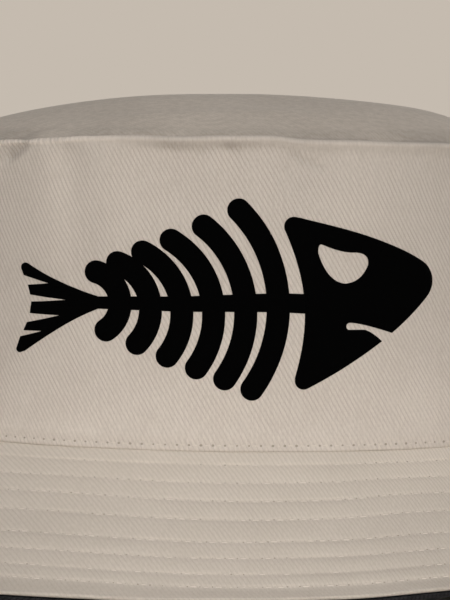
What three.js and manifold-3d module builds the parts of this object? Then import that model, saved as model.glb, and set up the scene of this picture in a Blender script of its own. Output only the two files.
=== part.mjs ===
// A two-tone bucket hat: natural cotton twill outside, black twill lining and under-brim,
// and a black fish-bone figure printed on the front of the crown.
// Millimetres, +Z up. The hat stands on the edge of its brim at z = 0 and its front faces -Y.

import * as THREE from "three";
import { mergeVertices } from "three/addons/utils/BufferGeometryUtils.js";
import Module from "manifold-3d";

const wasm = await Module();
wasm.setup();

// ---- driving dimensions ----

const gap = 0.3; // air between two pieces that touch
const oval = { wide: 1.045, deep: 0.955 }; // the plan is a little wider than it is deep

const crown = {
  baseRadius: 93.5, // at the seam with the brim: a head of 59 cm
  rimRadius: 85.5, // at the seam with the top panel
  height: 84.6, // from the brim's seam to the rim
  bulge: 0.8, // how far the side panels belly out at half height
  dome: 12.7, // the top panel's rise at its centre
  domeCurve: 2.33, // it stays high and then falls to its seam: 2 would be a parabola
  sideDroop: 3, // the rim hangs lower at the two sides
  lean: 0.013, // the crown's seam and rim drop a little towards the wearer's left
  level: 0.55, // share of the top panel's radius that stays level
};

const brim = {
  width: 54, // along the slope, seam to edge
  innerSlope: 42.5, // degrees below level, at the seam
  outerSlope: 38, // and at the edge
  margin: 2.8, // allowance that runs in under the crown's wall
  lip: 1.2, // the under-brim's cloth, turned up round the edge
};

const cloth = { crown: 1, lining: 0.8, brim: 1.2, print: 0.6 }; // thicknesses

const eyelet = {
  hole: 1.7, // radius of the opening
  barrel: 2.3, // radius of the stitched tube through the wall
  flange: 4.3, // radius of the stitched ring
  rise: 0.8, // how far the ring stands off the cloth
  angle: 11, // degrees on each side of the side seam
  height: 50, // above the brim's seam
};

const steps = { around: 56, up: 4, dome: 3, brim: 3, lining: 48, eyelet: 12, curve: 4 };

const seamZ = 37.4; // height of the seam between crown and brim
const rimZ = seamZ + crown.height;
const liningDepth = cloth.crown + gap;
const wallDepth = liningDepth + cloth.lining;
const brimDepth = 2 * cloth.brim + gap;

const colours = {
  natural: new THREE.MeshStandardMaterial({ color: 0xc8bcb0, roughness: 0.92, metalness: 0 }),
  black: new THREE.MeshStandardMaterial({ color: 0x1c1b1c, roughness: 0.9, metalness: 0 }),
  ink: new THREE.MeshStandardMaterial({ color: 0x050505, roughness: 0.75, metalness: 0 }),
  thread: new THREE.MeshStandardMaterial({ color: 0xd2c7bb, roughness: 0.8, metalness: 0 }),
};

// ---- solids ----

function toSolid(geometry) {
  const bare = new THREE.BufferGeometry().setAttribute("position", geometry.getAttribute("position"));
  if (geometry.index) bare.setIndex(geometry.index);
  const merged = mergeVertices(bare, 1e-4);
  return new wasm.Manifold(
    new wasm.Mesh({
      numProp: 3,
      vertProperties: merged.getAttribute("position").array,
      triVerts: new Uint32Array(merged.index.array),
    }),
  );
}

function toMesh(name, solid, material) {
  const { vertProperties, triVerts } = solid.getMesh();
  const geometry = new THREE.BufferGeometry();
  geometry.setAttribute("position", new THREE.BufferAttribute(new Float32Array(vertProperties), 3));
  geometry.setIndex(new THREE.BufferAttribute(new Uint32Array(triVerts), 1));
  geometry.computeVertexNormals();
  const mesh = new THREE.Mesh(geometry, material);
  mesh.name = name;
  return mesh;
}

// A ring turned from a closed outline of [radius, height] points, given anticlockwise.
function turned(outline, around) {
  const profile = [...outline, outline[0]].map(([radius, z]) => new THREE.Vector2(radius, z));
  return new THREE.LatheGeometry(profile, around).rotateX(Math.PI / 2);
}

// A disc turned from an outline that starts and ends on the axis, from its underside to its top.
function turnedDisc(outline, around) {
  const profile = outline.map(([radius, z]) => new THREE.Vector2(radius, z));
  return new THREE.LatheGeometry(profile, around).rotateX(Math.PI / 2);
}

function smooth(t) {
  const u = THREE.MathUtils.clamp(t, 0, 1);
  return u * u * (3 - 2 * u);
}

// Takes a point of the round pattern to where the cloth lies: an oval plan with a soft, leaning rim,
// which the middle of the top panel doesn't follow.
function lie(point) {
  const raised = THREE.MathUtils.clamp(point.z / seamZ, 0, 1);
  const up = smooth((point.z - seamZ) / crown.height);
  const side = (point.x / crown.rimRadius) ** 2;
  const share = Math.hypot(point.x, point.y) / crown.rimRadius;
  const held = smooth((share - crown.level) / (1 - crown.level));
  point.z -= held * (up * crown.sideDroop * side + raised * crown.lean * point.x);
  point.x *= oval.wide;
  point.y *= oval.deep;
  return point;
}

function lay(geometry) {
  const position = geometry.getAttribute("position");
  const point = new THREE.Vector3();
  for (let i = 0; i < position.count; i++) {
    lie(point.fromBufferAttribute(position, i));
    position.setXYZ(i, point.x, point.y, point.z);
  }
  return geometry;
}

function box(from, to) {
  const size = new THREE.Vector3().subVectors(to, from);
  const centre = new THREE.Vector3().addVectors(from, to).multiplyScalar(0.5);
  return toSolid(new THREE.BoxGeometry(size.x, size.y, size.z).translate(centre.x, centre.y, centre.z));
}

function range(count) {
  return Array.from({ length: count + 1 }, (_, i) => i / count);
}

// ---- crown ----

function crownRadius(z) {
  const t = (z - seamZ) / crown.height;
  return THREE.MathUtils.lerp(crown.baseRadius, crown.rimRadius, t) + crown.bulge * Math.sin(Math.PI * t);
}

// A wall of the crown, from `outer` to `inner` mm inside its outer face, standing on the brim.
function crownWall(outer, inner, top, around) {
  const foot = (radius) => seamZ + gap + (crown.baseRadius - radius) * slopeRise;
  const side = (depth) => {
    const low = foot(crown.baseRadius - depth);
    return range(steps.up).map((t) => {
      const z = THREE.MathUtils.lerp(low, top, t);
      return [crownRadius(z) - depth, z];
    });
  };
  return toSolid(lay(turned([...side(outer), ...side(inner).reverse()], around)));
}

function domeZ(radius, depth) {
  return rimZ + crown.dome * (1 - (radius / crown.rimRadius) ** crown.domeCurve) - depth;
}

// A panel of the top, `depth` mm under its upper face.
function topPanel(radius, depth, thickness, around) {
  const face = (d) => range(steps.dome).map((t) => [radius * t, domeZ(radius * t, d)]);
  return toSolid(lay(turnedDisc([...face(depth + thickness), ...face(depth).reverse()], around)));
}

// ---- brim ----

const innerSlope = THREE.MathUtils.degToRad(brim.innerSlope);
const outerSlope = THREE.MathUtils.degToRad(brim.outerSlope);
const slopeRise = Math.tan(innerSlope);

// The point `along` mm down the slope from the seam and `depth` mm under the brim's upper face.
function brimAt(along, depth) {
  const bend = (outerSlope - innerSlope) / brim.width;
  const s = Math.max(0, along);
  const slope = innerSlope + bend * s;
  const inward = Math.min(0, along);
  const radius = crown.baseRadius + (Math.sin(slope) - Math.sin(innerSlope)) / bend + inward * Math.cos(slope);
  const z = seamZ + (Math.cos(slope) - Math.cos(innerSlope)) / bend - inward * Math.sin(slope);
  return [radius - depth * Math.sin(slope), z - depth * Math.cos(slope)];
}

function brimFace(depth, from, to) {
  return [brimAt(from, depth), ...range(steps.brim).map((t) => brimAt(t * to, depth))];
}

function brimUpper() {
  const top = brimFace(0, -brim.margin, brim.width);
  const under = brimFace(cloth.brim, -brim.margin, brim.width);
  return toSolid(lay(turned([...under, ...top.reverse()], steps.around)));
}

// The under-brim: its cloth turns up round the upper layer's edge, and the hat's weight presses the
// lowest corner flat on the table.
function brimUnder() {
  const edge = brim.width + gap;
  const end = edge + brim.lip;
  const face = brimFace(cloth.brim + gap, -brim.margin, edge);
  const back = brimFace(brimDepth, -brim.margin, end);
  const lip = [brimAt(end, brimDepth * 0.25), brimAt(edge + brim.lip / 2, 0), brimAt(edge, 0)];
  const ring = toSolid(lay(turned([...back, ...lip, ...face.reverse()], steps.around)));
  return ring.trimByPlane([0, 0, 1], 0);
}

// ---- eyelets ----

// Where an eyelet sits on the crown's side, and the way it faces.
function eyeletSeat(azimuth) {
  const z = seamZ + eyelet.height;
  const at = (turn, height) =>
    lie(new THREE.Vector3(Math.sin(turn), -Math.cos(turn), 0).multiplyScalar(crownRadius(height)).setZ(height));
  const seat = at(azimuth, z);
  const across = at(azimuth + 0.01, z).sub(seat);
  const upward = at(azimuth, z + 1).sub(seat);
  return { seat, normal: across.cross(upward).normalize() };
}

function eyeletRing() {
  const outside = gap + eyelet.rise;
  const lap = -wallDepth - 2 * gap; // the wall curves in towards the inner flange
  const inside = lap - eyelet.rise;
  const outline = [
    [eyelet.hole, inside],
    [eyelet.flange - 0.6, inside],
    [eyelet.flange, lap],
    [eyelet.barrel, lap],
    [eyelet.barrel, gap],
    [eyelet.flange, gap],
    [eyelet.flange - 0.6, outside],
    [eyelet.hole, outside],
  ];
  return turned(outline, steps.eyelet);
}

function seated(geometry, { seat, normal }) {
  const turn = new THREE.Quaternion().setFromUnitVectors(new THREE.Vector3(0, 0, 1), normal);
  return toSolid(geometry.clone().applyQuaternion(turn).translate(seat.x, seat.y, seat.z));
}

// ---- the printed figure, drawn in mm round the middle of its backbone ----

const figure = {
  z: 77, // height of the backbone on the crown
  stroke: 3.08, // half the width of a rib
  ribs: 6,
  boneTail: [-34.3, 2.1, -1.4], // the backbone's tail end: x, upper and lower edge
  boneHead: [21.1, 3.15, -2.15],
};

// The circle through a rib's upper tip, the backbone and its lower tip.
function circleThrough(a, b, c) {
  const d = 2 * (a.x * (b.y - c.y) + b.x * (c.y - a.y) + c.x * (a.y - b.y));
  const [qa, qb, qc] = [a, b, c].map((p) => p.lengthSq());
  const x = (qa * (b.y - c.y) + qb * (c.y - a.y) + qc * (a.y - b.y)) / d;
  const y = (qa * (c.x - b.x) + qb * (a.x - c.x) + qc * (b.x - a.x)) / d;
  return { centre: new THREE.Vector2(x, y), radius: Math.hypot(a.x - x, a.y - y) };
}

// Rib number i, counted from the tail: longer and wider apart towards the head.
function ribShape(i) {
  const middle = new THREE.Vector2(-28.46 + 8.25 * i + 0.062 * i * i, -0.57);
  const upper = new THREE.Vector2(middle.x - (6.55 + 2.84 * i - 0.405 * i * i), 8.63 + 2.41 * i + 0.196 * i * i);
  const lower = new THREE.Vector2(middle.x - (3.85 - 0.41 * i + 0.212 * i * i), -(7 + 3.51 * i - 0.08 * i * i));
  const { centre, radius } = circleThrough(upper, middle, lower);
  const from = Math.atan2(lower.y - centre.y, lower.x - centre.x);
  const to = Math.atan2(upper.y - centre.y, upper.x - centre.x);
  const shape = new THREE.Shape();
  shape.absarc(centre.x, centre.y, radius + figure.stroke, from, to, false);
  shape.absarc(upper.x, upper.y, figure.stroke, to, to + Math.PI, false);
  shape.absarc(centre.x, centre.y, radius - figure.stroke, to, from, true);
  shape.absarc(lower.x, lower.y, figure.stroke, from + Math.PI, from + 2 * Math.PI, false);
  return shape;
}

function backboneShape() {
  const [tailX, tailTop, tailLow] = figure.boneTail;
  const [headX, headTop, headLow] = figure.boneHead;
  const shape = new THREE.Shape();
  shape.moveTo(tailX, tailLow);
  shape.lineTo(headX, headLow);
  shape.lineTo(headX, headTop);
  shape.lineTo(tailX, tailTop);
  return shape;
}

function headShape() {
  const shape = new THREE.Shape();
  shape.moveTo(42.7, -10.2); // chin
  shape.quadraticCurveTo(40.1, -7.6, 37.9, -6.9);
  shape.lineTo(33.8, -6.8);
  shape.absarc(33.8, -5.9, 1, -1.9, -4.6, true); // corner of the mouth
  shape.quadraticCurveTo(36.5, -4.9, 45.5, -8);
  shape.quadraticCurveTo(51.4, -3.3, 55.4, 1.3);
  shape.absarc(50.6, 5.9, 6.6, -0.75, 1, false); // nose
  shape.quadraticCurveTo(44.4, 18.3, 20.3, 23.9);
  shape.absarc(19, 21, 3, 1.25, 3.4, false); // crown of the head
  shape.quadraticCurveTo(21.6, 8.5, 21.5, -2.6);
  shape.quadraticCurveTo(21.5, -10.5, 18.7, -20.1);
  shape.absarc(21.2, -20.4, 2.4, 2.8, 5.2, false); // gill corner
  shape.quadraticCurveTo(32.9, -17.3, 42.7, -10.2);
  shape.holes.push(eyeHole());
  return shape;
}

function eyeHole() {
  const hole = new THREE.Path();
  hole.moveTo(25.2, 14.2);
  hole.quadraticCurveTo(25.1, 17.1, 26.4, 16.5);
  hole.quadraticCurveTo(32, 14, 35.5, 14.2);
  hole.quadraticCurveTo(39.4, 13.9, 38.9, 10.8);
  hole.quadraticCurveTo(37, 6.1, 32.5, 5.8);
  hole.quadraticCurveTo(27.7, 6.3, 25.2, 14.2);
  return hole;
}

// The tail's fan, whose hind edge has four notches: each is its mouth's two ends and its tip.
function tailShape() {
  const notches = [
    [[-56.1, -9.3], [-55.2, -7.6], [-50, -7.6]],
    [[-54.2, -5.3], [-53.4, -2.8], [-45.2, -3.3]],
    [[-53, 0.4], [-53.3, 2.3], [-43.3, 0.9]],
    [[-54, 5], [-55.2, 7.6], [-48.2, 5.5]],
  ];
  const shape = new THREE.Shape();
  shape.moveTo(-34.6, -1.4);
  shape.quadraticCurveTo(-43.6, -5, -54.7, -13.2);
  shape.absarc(-56.2, -12.7, 1, -1, -3.2, true);
  for (const [low, high, tip] of notches) {
    shape.lineTo(...low);
    shape.lineTo(...tip);
    shape.lineTo(...high);
  }
  shape.absarc(-54.7, 9.8, 1.3, 3.4, 1, true);
  shape.quadraticCurveTo(-43.8, 4.5, -34.6, 2.1);
  return shape;
}

const printReach = { from: -130, to: -30 }; // the stretch along Y that the figure's prisms fill

function prism(shape) {
  const depth = printReach.to - printReach.from;
  const geometry = new THREE.ExtrudeGeometry(shape, { depth, bevelEnabled: false, curveSegments: steps.curve });
  return toSolid(geometry.rotateX(Math.PI / 2).translate(0, printReach.to, figure.z));
}

// ---- assembly ----

const outer = crownWall(0, cloth.crown, rimZ - liningDepth, steps.around);
const lining = crownWall(liningDepth, wallDepth, rimZ - wallDepth, steps.lining);
const liningTop = topPanel(crown.rimRadius - liningDepth, liningDepth, cloth.lining, steps.lining);

const seats = [-1, 1].flatMap((side) =>
  [-1, 1].map((turn) => ({
    name: `eyelet_${side < 0 ? "right" : "left"}_${turn * side < 0 ? "front" : "back"}`,
    ...eyeletSeat(side * Math.PI / 2 + turn * THREE.MathUtils.degToRad(eyelet.angle)),
  })),
);
const bore = new THREE.CylinderGeometry(eyelet.barrel + gap, eyelet.barrel + gap, 30, steps.eyelet)
  .rotateX(Math.PI / 2);
const pierced = (solid) => seats.reduce((left, seat) => left.subtract(seated(bore, seat)), solid);

const wide = 200; // further than any piece reaches
const frontHalf = box(new THREE.Vector3(-wide, -wide, -wide), new THREE.Vector3(wide, -gap / 2, wide));
const backHalf = box(new THREE.Vector3(-wide, gap / 2, -wide), new THREE.Vector3(wide, wide, wide));

const film = crownWall(-gap - cloth.print, -gap, rimZ, steps.around);
const ribs = Array.from({ length: figure.ribs }, (_, i) => prism(ribShape(i)));
const skeleton = ribs.reduce((whole, rib) => whole.add(rib), prism(backboneShape()));

const hat = new THREE.Group();
hat.add(
  toMesh("crown_top", topPanel(crown.rimRadius, 0, cloth.crown, steps.around), colours.natural),
  toMesh("crown_front", pierced(outer.intersect(frontHalf)), colours.natural),
  toMesh("crown_back", pierced(outer.intersect(backHalf)), colours.natural),
  toMesh("brim_upper", brimUpper(), colours.natural),
  toMesh("brim_under", brimUnder(), colours.black),
  toMesh("lining_top", liningTop, colours.black),
  toMesh("lining_side", pierced(lining), colours.black),
  toMesh("print_head", prism(headShape()).intersect(film), colours.ink),
  toMesh("print_ribs", skeleton.intersect(film), colours.ink),
  toMesh("print_tail", prism(tailShape()).intersect(film), colours.ink),
  ...seats.map((seat) => toMesh(seat.name, seated(eyeletRing(), seat), colours.thread)),
);

export default hat;
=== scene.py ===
import math

import bmesh
import bpy
import numpy as np
from mathutils import Matrix, Vector


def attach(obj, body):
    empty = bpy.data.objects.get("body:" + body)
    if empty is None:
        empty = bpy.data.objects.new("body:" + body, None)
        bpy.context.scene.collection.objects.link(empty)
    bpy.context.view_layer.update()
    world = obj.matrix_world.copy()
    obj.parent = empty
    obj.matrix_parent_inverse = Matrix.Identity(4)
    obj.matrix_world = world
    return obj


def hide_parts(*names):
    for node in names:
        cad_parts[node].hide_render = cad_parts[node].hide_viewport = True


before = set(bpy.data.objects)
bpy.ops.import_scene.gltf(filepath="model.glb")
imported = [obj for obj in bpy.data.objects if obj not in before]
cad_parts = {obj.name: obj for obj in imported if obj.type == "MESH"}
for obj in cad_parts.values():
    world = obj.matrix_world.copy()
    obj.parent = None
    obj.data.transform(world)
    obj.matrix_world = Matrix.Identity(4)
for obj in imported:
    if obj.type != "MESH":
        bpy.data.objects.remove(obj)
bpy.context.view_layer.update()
mm = 0.001
quarter = math.pi / 2.0
print("loaded the frame of the hat:", ", ".join(sorted(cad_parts)))

hat = {  # the pattern that the solids are laid to, in mm and degrees
    "seamHeight": 37.4,  # where crown and brim meet
    "headRadius": 93.5,
    "rimRadius": 85.5,
    "crownHeight": 84.6,
    "bulge": 0.8,
    "dome": 12.9,
    "domeCurve": 2.33,  # to the sides it stays high and then falls to its seam: 2 would be a parabola
    "frontCurve": 1.5,  # to the front and back it rises more evenly: 1 would be a cone
    "sideDroop": 3.0,
    "calmShare": 0.6,  # of the top panel's radius: the rim's droop and wave don't reach it
    "lean": 0.013,
    "wide": 1.045,  # the plan is an oval
    "deep": 0.955,
    "brimWidth": 54.0,
    "brimInnerSlope": 42.5,
    "brimOuterSlope": 38.0,
}
rimHeight = hat["seamHeight"] + hat["crownHeight"]

# camera first: level with the rim, looking a little down at the front of the crown
view = {"distance": 0.9, "height": rimHeight * mm, "lookDown": 3.07, "lens": 181.74}

cameraData = bpy.data.cameras.new("camera")
cameraData.lens = view["lens"]
cameraData.sensor_width = 36.0
cameraData.clip_start = 0.01
camera = bpy.data.objects.new("camera", cameraData)
camera.location = (0.0, -view["distance"], view["height"])
camera.rotation_euler = (math.radians(90.0 - view["lookDown"]), 0.0, 0.0)
bpy.context.scene.collection.objects.link(camera)
bpy.context.scene.camera = camera


# shapes that the cloth lies on, all in mm: turn is the angle round the hat from its front, in radians

def smooth(t):
    t = np.clip(t, 0.0, 1.0)
    return t * t * (3.0 - 2.0 * t)


def grow(value, start, length):  # from 0 at the start to 1 after the length
    return smooth((value - start) / length)


def fade(value, start, length):
    return 1.0 - grow(value, start, length)


def bump(distance, width):  # a soft ridge across a line
    return np.exp(-(distance / width) ** 2)


def eased(value, table):  # soft steps from one pair of the table to the next
    places, sizes = np.array(table).T
    i = np.clip(np.searchsorted(places, value) - 1, 0, len(places) - 2)
    return sizes[i] + (sizes[i + 1] - sizes[i]) * smooth((value - places[i]) / (places[i + 1] - places[i]))


def lie(x, y, z, held=1.0):  # from the round pattern to the oval, leaning hat
    raised = np.clip(z / hat["seamHeight"], 0.0, 1.0)
    up = smooth((z - hat["seamHeight"]) / hat["crownHeight"])
    side = (x / hat["rimRadius"]) ** 2
    z = z - held * (up * hat["sideDroop"] * side + raised * hat["lean"] * x)
    return np.stack([x * hat["wide"], y * hat["deep"], z], axis=-1)


def crownRadius(z):
    t = (z - hat["seamHeight"]) / hat["crownHeight"]
    slant = hat["rimRadius"] - hat["headRadius"]
    return hat["headRadius"] + slant * t + hat["bulge"] * np.sin(np.pi * np.clip(t, 0.0, 1.0))


def degreesRound(turn):  # from the front, -180 to 180
    return (np.degrees(turn) + 180.0) % 360.0 - 180.0


rolls = {"rim": 0.85, "seam": 0.5, "edge": 0.6, "underEdge": 0.9}  # radii of the turned edges
rollTurns = {"rim": 2.5, "seam": 2.6, "edge": 2.8, "underEdge": 3.1}  # how far they turn in, in radians
rimStand = 0.2  # the rim's seam stands this far over the edge of the top panel
seamStand = 0.4  # the crown's folded edge hangs this far over the brim's seam
liningGap = {"side": 1.8, "top": 1.5}  # from the outer face of the cloth to the lining's
rimWave = [  # degrees round the hat, mm that the soft rim rises there
    (-180, 0.0), (-150, 0.4), (-118, -0.2), (-85, 0.2), (-43, -0.45), (-33, -0.5), (-25, 0.1),
    (-16, -0.05), (-7, -0.35), (0, 0.0), (8, 0.2), (14, -0.65), (27, -0.45), (42, 0.0), (88, 0.2),
    (120, 0.4), (150, -0.1), (180, 0.0),
]


def onOval(radius, turn, z, held=1.0):
    return lie(radius * np.sin(turn), -radius * np.cos(turn), z, held)


def sideSkin(turn, up):  # up is mm of cloth above the brim's seam; both ends turn in to their seams
    low, high = rolls["seam"], rolls["rim"]
    bottom = seamStand + low
    top = hat["crownHeight"] + rimStand - high
    body = np.clip(up, bottom, top)
    lowTurn = np.clip((bottom - up) / low, 0.0, rollTurns["seam"])
    highTurn = np.clip((up - top) / high, 0.0, rollTurns["rim"])
    z = hat["seamHeight"] + body - low * np.sin(lowTurn) + high * np.sin(highTurn)
    inward = low * (1.0 - np.cos(lowTurn)) + high * (1.0 - np.cos(highTurn))
    points = onOval(crownRadius(z) - inward, turn, z)
    points[..., 2] += eased(degreesRound(turn), rimWave) * smooth(up / hat["crownHeight"])
    return points


def topSkin(turn, out, depth=0.0):  # out is mm from the middle of the top panel
    radius = np.maximum(out, 0.02)
    share = radius / hat["rimRadius"]
    curve = hat["frontCurve"] + (hat["domeCurve"] - hat["frontCurve"]) * np.sin(turn) ** 2
    z = rimHeight + hat["dome"] * (1.0 - share ** curve) - depth
    held = grow(share, hat["calmShare"], 1.0 - hat["calmShare"])
    points = onOval(radius, turn, z, held)
    points[..., 2] += eased(degreesRound(turn), rimWave) * held
    return points


def brimAt(along, depth):  # along the slope from the seam, depth under the upper face
    inner, outer = math.radians(hat["brimInnerSlope"]), math.radians(hat["brimOuterSlope"])
    bend = (outer - inner) / hat["brimWidth"]
    inward = np.minimum(along, 0.0)
    slope = inner + bend * np.maximum(along, 0.0)
    radius = hat["headRadius"] + (np.sin(slope) - math.sin(inner)) / bend + inward * np.cos(slope)
    z = hat["seamHeight"] + (np.cos(slope) - math.cos(inner)) / bend - inward * np.sin(slope)
    return radius - depth * np.sin(slope), z - depth * np.cos(slope)


brimWave = [  # degrees round the hat, mm that the soft brim rises there
    (-180, 0.1), (-150, 0.9), (-118, 0.0), (-85, 0.9), (-52, 0.2), (-25, 1.2),
    (3, 0.0), (12, 0.15), (27, 1.3), (52, 0.3), (88, 0.9), (120, 0.0), (150, 0.8), (180, 0.1),
]
brimFlick = {"start": 48.7, "length": 4.9, "rise": 1.35, "bend": 0.12}  # past the last row the edge turns up
brimCalm = 18.0  # mm from the seam over which the wave grows
brimCut = [  # degrees round the hat, mm that the last band is wider there
    (-180, 0.0), (-120, 0.4), (-85, -0.2), (-60, 0.5), (-25, 1.5), (-11, 0.9), (2, 0.0),
    (60, -0.2), (95, 0.4), (140, -0.2), (180, 0.0),
]


def edgeShare(along):  # from 0 at the last stitch row to 1 at the edge
    return np.clip((along - brimFlick["start"]) / brimFlick["length"], 0.0, 1.0)


def waved(points, turn, along):
    points[..., 2] += eased(degreesRound(turn), brimWave) * smooth(along / brimCalm)
    points[..., 2] += brimFlick["rise"] * (np.hypot(edgeShare(along), brimFlick["bend"]) - brimFlick["bend"])
    return points


def widened(turn, along):
    return along + eased(degreesRound(turn), brimCut) * edgeShare(along)


def turnedUnder(turn, along, edge, start, depth):  # cloth whose outer edge rolls over
    roll = rolls[edge]
    edgeTurn = np.clip((along - start) / roll, 0.0, rollTurns[edge])
    reach = widened(turn, np.minimum(along, start)) + roll * np.sin(edgeTurn)
    radius, z = brimAt(reach, depth(roll * (1.0 - np.cos(edgeTurn))))
    return waved(onOval(radius, turn, z), turn, along)


def brimSkin(turn, along):  # the upper layer, whose outer edge turns under
    return turnedUnder(turn, along, "edge", hat["brimWidth"] - rolls["edge"], lambda drop: drop)


underBrim = {"overhang": 0.35, "depth": 2.7}  # past the upper layer, and under its upper face


def underSkin(turn, along):  # the under-brim's outer face, from its edge back to the head opening
    start = hat["brimWidth"] + underBrim["overhang"]
    return turnedUnder(turn, along, "underEdge", start, lambda rise: underBrim["depth"] - rise)


def liningSide(turn, up):
    z = hat["seamHeight"] + up
    return onOval(crownRadius(z) - liningGap["side"], turn, z)


def liningTop(turn, out):
    return topSkin(turn, out, liningGap["top"])


# +1 where turn and up run round the seen face anticlockwise, -1 where they run clockwise
seenFace = {sideSkin: 1, topSkin: -1, brimSkin: -1, underSkin: 1, liningSide: -1, liningTop: 1}


def lifted(skin, turn, up, height):  # points of a skin moved out along its seen face's normal
    step = 1e-3
    acrossTurn = skin(turn + step, up) - skin(turn - step, up)
    acrossUp = skin(turn, up + step) - skin(turn, up - step)
    normal = np.cross(acrossTurn, acrossUp) * seenFace[skin]
    normal /= np.maximum(np.linalg.norm(normal, axis=-1, keepdims=True), 1e-12)
    return skin(turn, up) + normal * np.asarray(height)[..., None], normal


fullTurn = np.linspace(-math.pi, math.pi, 1441)
ovalStep = np.hypot(np.cos(fullTurn) * hat["wide"], np.sin(fullTurn) * hat["deep"])
ovalTurn = np.concatenate([[0.0], np.cumsum((ovalStep[1:] + ovalStep[:-1]) / 2.0 * np.diff(fullTurn))])
ovalTurn -= ovalTurn[720]


def arc(turn, radius):  # mm round the oval from its front
    return np.interp(turn, fullTurn, ovalTurn) * radius


def ripple(turn, up, around, size, seed):  # soft random values from -1 to 1, joined at the back
    rows = 64
    values = np.random.default_rng(seed).uniform(-1.0, 1.0, (around, rows))
    x = (turn / (2.0 * math.pi) + 0.5) * around
    y = up / size + 20.0
    i, j = np.floor(x).astype(int), np.floor(y).astype(int)
    fx, fy = smooth(x - i), smooth(y - j)
    this, following = i % around, (i + 1) % around
    near = values[this, j % rows] * (1.0 - fx) + values[following, j % rows] * fx
    far = values[this, (j + 1) % rows] * (1.0 - fx) + values[following, (j + 1) % rows] * fx
    return near * (1.0 - fy) + far * fy


def roundRipple(turn, around, seed):  # the same at every height
    return ripple(turn, np.zeros_like(turn), around, 1.0, seed)


def swelling(turn, up, swells):  # soft hills, each with a height, a count round the hat, a length and a seed
    return sum(height * ripple(turn, up, around, length, seed) for height, around, length, seed in swells)


# relief of the sewn cloth, in mm off its skin, and its tone, rubbed lighter and with painted light and shade:
# a tone of 1 is fully rubbed

crownCloth = {
    "wall": 89.5,  # mean radius
    "swells": [(0.4, 13, 34.0, 3), (0.14, 34, 15.0, 4)],  # broad and small softness of the side panels
    "calmEdge": 6.0,  # the swells fade out this close to a seam
    "lip": 0.38,  # the seam allowance pushes the rim out
    "lipHeight": 0.7,
    "lipFade": 0.9,
    "lipUneven": 0.3,
    "hollows": [  # x in mm, and how far the cloth sinks under the lip there
        (-90, 0.5), (-61, 0.2), (-50, 0.0), (-43, 0.6), (-36, -0.4), (-29, 0.0), (-21, 0.9), (-15, 1.8),
        (-9, 1.4), (-3.5, 0.9), (1, 2.1), (6, 1.2), (15, 0.7), (22, 0.6), (29, 0.6), (37, 0.3), (46, 0.5),
        (60, 0.5), (90, 0.5),
    ],
    "hollowDepth": (1.9, 5.0, 25.0),  # mm below the lip: how it sinks, and from where and how it fills
    "lipWornAndLit": [  # x in mm, and how much lighter the lip is there: worn, and a painted highlight where it catches the light
        (-90, 0.9), (-61, 1.6), (-50, 1.6), (-36, 1.3), (-28, 0.5), (-15, 0.0), (0, 0.1), (8, 0.0),
        (22, -0.2), (45, 0.1), (60, -0.1), (90, 0.9),
    ],
    "gathers": [  # degrees round the hat, and how strongly the rim is gathered there
        (-180, 0.3), (-150, 1.0), (-110, 0.2), (-70, 1.0), (-45, 1.8), (-31, 1.7), (-26, 0.15),
        (40, 0.15), (60, 0.4), (90, 0.9), (120, 0.2), (150, 0.9), (180, 0.3),
    ],
    "patches": [  # x in mm, mm above the brim, radius, and how much lighter or darker the cloth is there: painted light and shade
        (20.0, 73.0, 7.0, -0.25), (38.0, 66.0, 9.0, 0.3), (-54.0, 72.0, 16.0, 0.3), (-34.0, 72.0, 13.0, 0.25),
        (-58.0, 4.0, 12.0, 0.4), (-38.0, 5.0, 8.0, 0.2), (57.0, 12.0, 9.0, 0.3), (18.0, 13.0, 9.0, -0.2),
    ],
    "gather": 0.2,  # how far a pull draws the rim in
    "gatherPitch": 1.95,
    "gatherReach": (1.6, 1.3),  # mm below the rim, and over how far it fades
    "topstitch": 1.9,  # height of the stitches over the brim's seam
    "topstitchPull": (0.1, 0.5),  # depth and width
    "foldedEdge": (0.3, 3.6, 2.4),  # the folded allowance: thickness, height, and over how far it fades
    "foldRidge": (0.06, 5.0, 2.0),  # the cloth swells over its end: by how much, where, and how wide
    "sideSeam": (0.8, 1.0),  # where front and back panel meet: depth and width
    "behind": 0.25,  # share of the creases' depth on the back
    "creases": [  # x in mm, mm above the brim, length, lean in degrees, depth, width
        (-57.8, 82.1, 4.2, 38.0, 1.15, 1.4),
        (-61.0, 81.6, 4.0, 40.0, 0.25, 0.9),
        (-44.0, 80.8, 4.0, 80.0, 0.16, 1.5),
        (-7.0, 80.2, 5.0, 28.0, 0.12, 1.4),
        (4.5, 79.6, 5.0, -38.0, 0.16, 1.4),
        (22.0, 79.3, 6.0, -24.0, 0.5, 1.4),
        (52.0, 79.5, 5.0, 65.0, 0.16, 1.3),
        (-35.7, 70.0, 26.0, 90.0, 0.2, 4.2),  # soft folds down the panel, a trough and a ridge
        (-46.0, 70.0, 24.0, 92.0, -0.3, 4.2),
    ],
}


def creased(across, up, creases):
    pointed = 0.6  # how soon a crease ends
    depth = np.zeros_like(across)
    for middle, height, length, lean, sink, width in creases:
        c, s = math.cos(math.radians(lean)), math.sin(math.radians(lean))
        x, y = across - middle, up - height
        past = np.maximum(np.abs(x * c + y * s) - length / 2.0, 0.0)
        depth += sink * bump(np.hypot(past * pointed, y * c - x * s), width)
    return depth


def patched(x, y, patches):
    tone = np.zeros_like(x)
    for middleX, middleY, radius, lighter in patches:
        tone += lighter * bump(np.hypot(x - middleX, y - middleY), radius)
    return tone


def seamGroove(turn, place, radius, depth, width):  # a seam down the cloth at this turn, to both sides
    return depth * fade(np.abs(arc(place, radius) - np.abs(arc(turn, radius))), 0.0, width)


def sunk(across, under):  # under is mm below the lip
    steep, floor, fill = crownCloth["hollowDepth"]
    profile = (1.0 - np.exp(-(under / steep) ** 2)) * fade(under, floor, fill)
    return eased(across, crownCloth["hollows"]) * profile


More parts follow.
